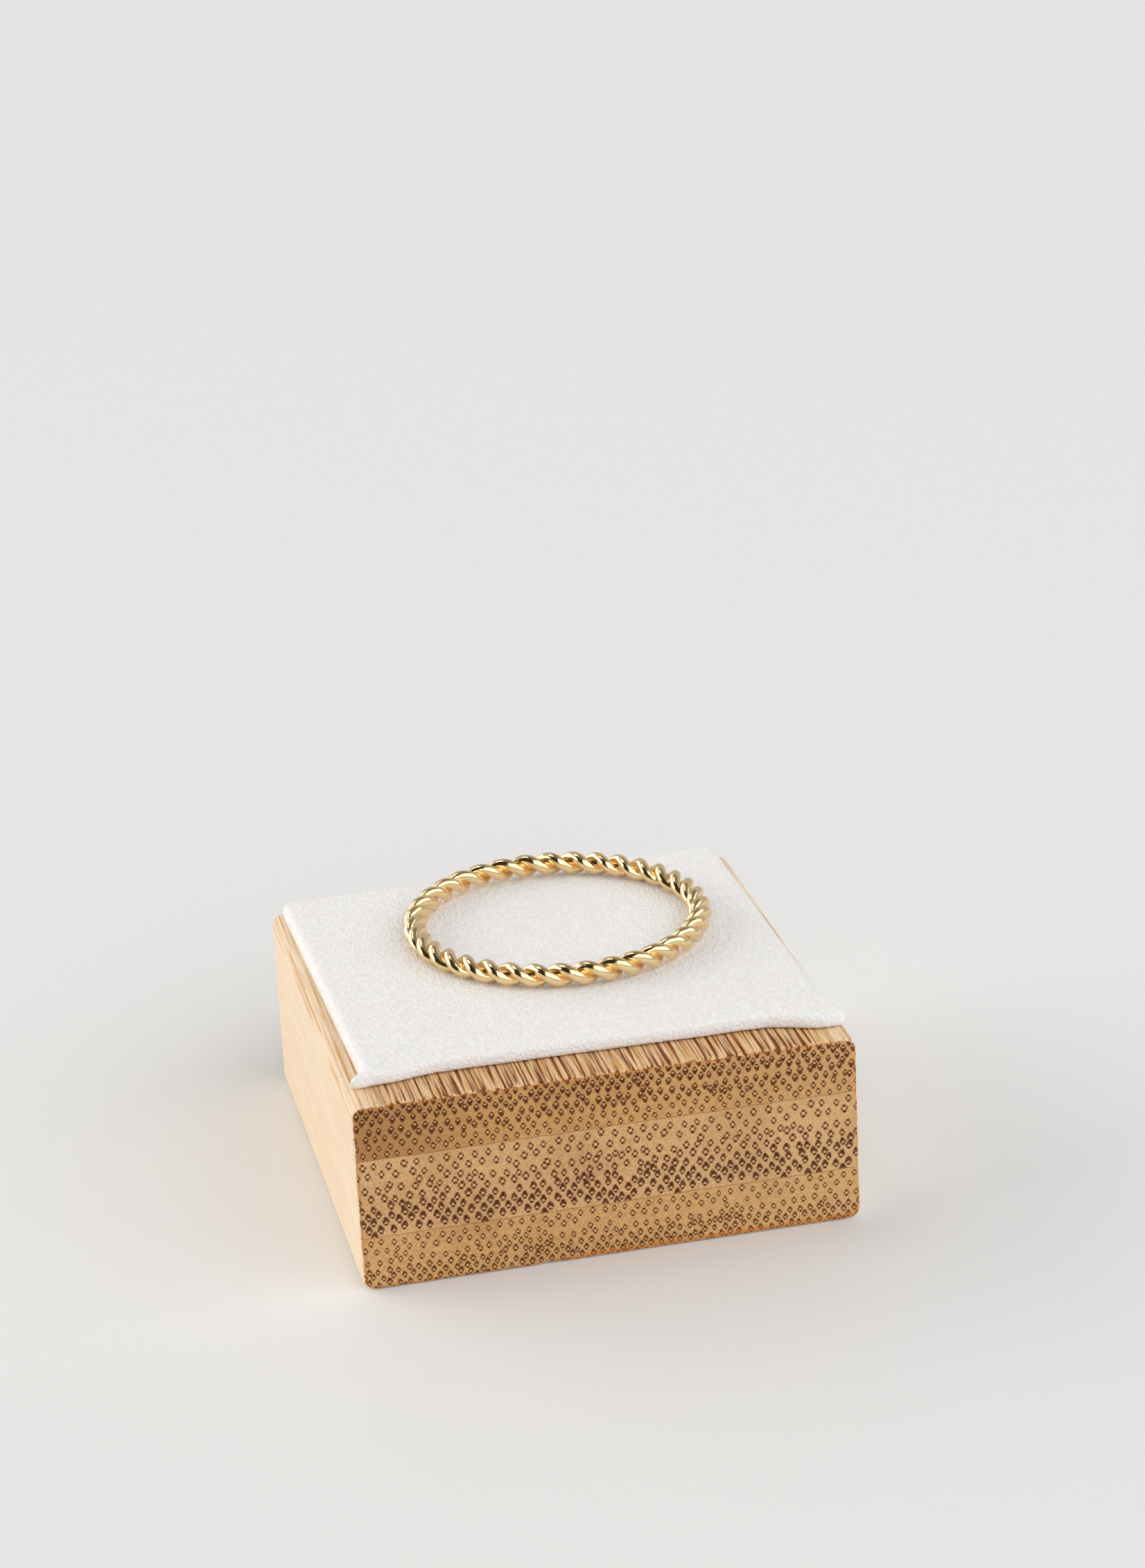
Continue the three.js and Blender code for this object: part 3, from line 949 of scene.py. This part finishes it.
def pad_outline():
    """The pad's outline from above, anticlockwise, before its sides lean."""
    radius = PAD_CORNER_RADIUS
    x0 = PAD_LEFT + radius
    x1 = PAD_RIGHT - radius
    y1 = PAD_BACK - radius
    left_front = arc_points(x0, pad_front_at(x0) + radius, radius, 2.0 * QUARTER_TURN, PAD_EDGE_STEPS)
    right_front = arc_points(x1, pad_front_at(x1) + radius, radius, -QUARTER_TURN, PAD_EDGE_STEPS)
    right_back = arc_points(x1, y1, radius, 0.0, PAD_EDGE_STEPS)
    left_back = arc_points(x0, y1, radius, QUARTER_TURN, PAD_EDGE_STEPS)
    front = [(x, pad_front_at(x)) for x, _ in straight_points((x0, 0.0), (x1, 0.0), PAD_STEP)]
    outline = left_front + front + right_front
    outline += straight_points(right_front[-1], right_back[0], PAD_LONG_STEP) + right_back
    outline += straight_points(right_back[-1], left_back[0], PAD_LONG_STEP) + left_back
    outline += straight_points(left_back[-1], left_front[0], PAD_STEP)
    return outline


def leaned(x, y):
    """The x of a point of the pad once its sides lean and its front right corner flares out."""
    share = (x - PAD_LEFT) / (PAD_RIGHT - PAD_LEFT)
    lean = PAD_LEFT_LEAN + (PAD_RIGHT_LEAN - PAD_LEFT_LEAN) * share
    forward = eased((y - RIGHT_FLARE["far"]) / (RIGHT_FLARE["near"] - RIGHT_FLARE["far"]))
    sideways = eased((x - RIGHT_FLARE["from"]) / (PAD_RIGHT - RIGHT_FLARE["from"]))
    return x - lean * (y + BLOCK_DEPTH / 2.0) + RIGHT_FLARE["reach"] * forward * sideways


def lip_at(x, y):
    """How far the folded lip sticks out to the left at a point of the outline."""
    if x > LIP_SIDE or y > LIP_NOTCH or y < LIP_FRONT:
        return 0.0
    if y > LIP_TIP:
        return LIP_REACH * (LIP_NOTCH - y) / (LIP_NOTCH - LIP_TIP)
    return LIP_REACH * math.sqrt(max(1.0 - ((LIP_TIP - y) / (LIP_TIP - LIP_FRONT)) ** 2, 0.0))


def leatherette_pad():
    """The pad as closed rings of points: up its rounded edge, and then in to the middle of its top."""
    outline = pad_outline()
    lips = [lip_at(x, y) for x, y in outline]
    levels = [(PAD_FOOT_INSET, 0.0)]
    roll_height = PAD_THICKNESS - PAD_CROWN - PAD_SHOULDER
    for i in range(PAD_EDGE_STEPS + 1):
        angle = QUARTER_TURN * i / PAD_EDGE_STEPS
        inset = PAD_EDGE_WIDTH * (1.0 - math.cos(angle) ** PAD_EDGE_FULLNESS)
        levels.append((inset, PAD_SHOULDER + roll_height * math.sin(angle) ** PAD_EDGE_FULLNESS))
    rings = []
    for inset, height in levels:
        share = max(1.0 - inset / PAD_EDGE_WIDTH, 0.0)
        ring = []
        for (x, y), lip in zip(drawn_in(outline, inset), lips):
            ring.append((x - lip * share, y, height))
        rings.append(ring)
    rim = rings[-1]
    middle_x = sum(point[0] for point in rim) / len(rim)
    middle_y = sum(point[1] for point in rim) / len(rim)
    for i in range(1, PAD_RINGS):
        share = 1.0 - i / PAD_RINGS
        rise = PAD_CROWN * (1.0 - eased((share - 1.0 + PAD_CROWN_SHARE) / PAD_CROWN_SHARE))
        rings.append([
            (middle_x + (x - middle_x) * share, middle_y + (y - middle_y) * share, height + rise)
            for x, y, height in rim])
    points, faces = skin(rings)
    shaped = []
    for x, y, z in points:
        dip = sum(wave["height"] * unit_noise((x, y, z), wave["rates"], wave["shift"]) for wave in PAD_WAVES)
        shaped.append((leaned(x, y), y, BLOCK_HEIGHT + z - dip * z / PAD_THICKNESS))
    piece = mesh_object("leatherette_pad_cover", shaped, faces, leatherette_material(), "root")
    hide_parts("leatherette_pad")
    return piece


# The stage: a wide pale floor in a bright room, with a large low window on the left, a dark doorway
# beside it, a soft light on the front right, and a bright panel in a dim ceiling. Azimuth 0 is
# straight behind the part and 90 is its right, in degrees.
FLOOR_SIZE = 6000.0
FLOOR_DROP = 0.02
ROOM_STRENGTH = 0.965
ROOM_COLOUR = (0.56, 0.56, 0.565, 1.0)
CEILING_COLOUR = (0.26, 0.235, 0.20, 1.0)
PANEL_COLOUR = (2.4, 2.4, 2.36, 1.0)
WINDOW_COLOUR = (2.92, 2.82, 2.68, 1.0)
SOFT_LIGHT_COLOUR = (2.04, 2.06, 2.12, 1.0)
DOORWAY_COLOUR = (0.035, 0.038, 0.030, 1.0)
PANEL = {"azimuth": -70.0, "elevation": 66.0, "half_width": 17.0, "half_height": 10.0, "softness": 0.03}
WINDOW = {"azimuth": -62.0, "elevation": 16.0, "half_width": 38.0, "half_height": 22.0, "softness": 0.03}
SOFT_LIGHT = {"azimuth": 154.0, "elevation": 43.0, "half_width": 50.0, "half_height": 25.0, "softness": 0.15}
DOORWAY = {"azimuth": -127.0, "elevation": 32.0, "half_width": 25.0, "half_height": 42.0, "softness": 0.05}
CEILING_START = 0.74
CEILING_END = 0.86
LEAST_AHEAD = 0.05


def make_stage():
    half = FLOOR_SIZE / 2.0
    corners = [(-half, -half, 0.0), (half, -half, 0.0), (half, half, 0.0), (-half, half, 0.0)]
    floor = mesh_object("floor", corners, [(0, 1, 2, 3)], floor_material())
    floor.location.z = -FLOOR_DROP * MM


def patch_of_sky(direction, azimuth, elevation, half_width, half_height, softness):
    """1 inside an oblong of the sky and 0 outside it, with a soft rim."""
    across = Vector((math.cos(math.radians(azimuth)), -math.sin(math.radians(azimuth)), 0.0))
    middle = Vector((
        math.sin(math.radians(azimuth)) * math.cos(math.radians(elevation)),
        math.cos(math.radians(azimuth)) * math.cos(math.radians(elevation)),
        math.sin(math.radians(elevation))))
    above = across.cross(middle)
    x, y, z = direction
    ahead = x * middle.x + y * middle.y + z * middle.z
    sideways = (x * across.x + y * across.y + z * across.z) / ahead.most(LEAST_AHEAD)
    upwards = (x * above.x + y * above.y + z * above.z) / ahead.most(LEAST_AHEAD)
    width = math.tan(math.radians(half_width))
    height = math.tan(math.radians(half_height))
    inside_width = sideways.size().between(width + softness, width - softness)
    inside_height = upwards.size().between(height + softness, height - softness)
    return inside_width * inside_height * ahead.over(0.0)


def make_sky():
    world = bpy.data.worlds.new("studio_sky")
    bpy.context.scene.world = world
    world.use_nodes = True
    tree = world.node_tree
    background = tree.nodes["Background"]
    coordinates = tree.nodes.new("ShaderNodeTexCoord").outputs["Generated"]
    direction = parts_of(tree, coordinates)
    colour = mixed(tree, direction[2].between(CEILING_START, CEILING_END), ROOM_COLOUR, CEILING_COLOUR)
    colour = mixed(tree, patch_of_sky(direction, **PANEL), colour, PANEL_COLOUR)
    colour = mixed(tree, patch_of_sky(direction, **SOFT_LIGHT), colour, SOFT_LIGHT_COLOUR)
    colour = mixed(tree, patch_of_sky(direction, **DOORWAY), colour, DOORWAY_COLOUR)
    colour = mixed(tree, patch_of_sky(direction, **WINDOW), colour, WINDOW_COLOUR)
    feed(tree, background.inputs["Color"], colour)
    background.inputs["Strength"].default_value = ROOM_STRENGTH


make_camera()
rope_ring()
bamboo_block()
leatherette_pad()
make_stage()
make_sky()
bpy.context.scene.view_settings.view_transform = "Standard"
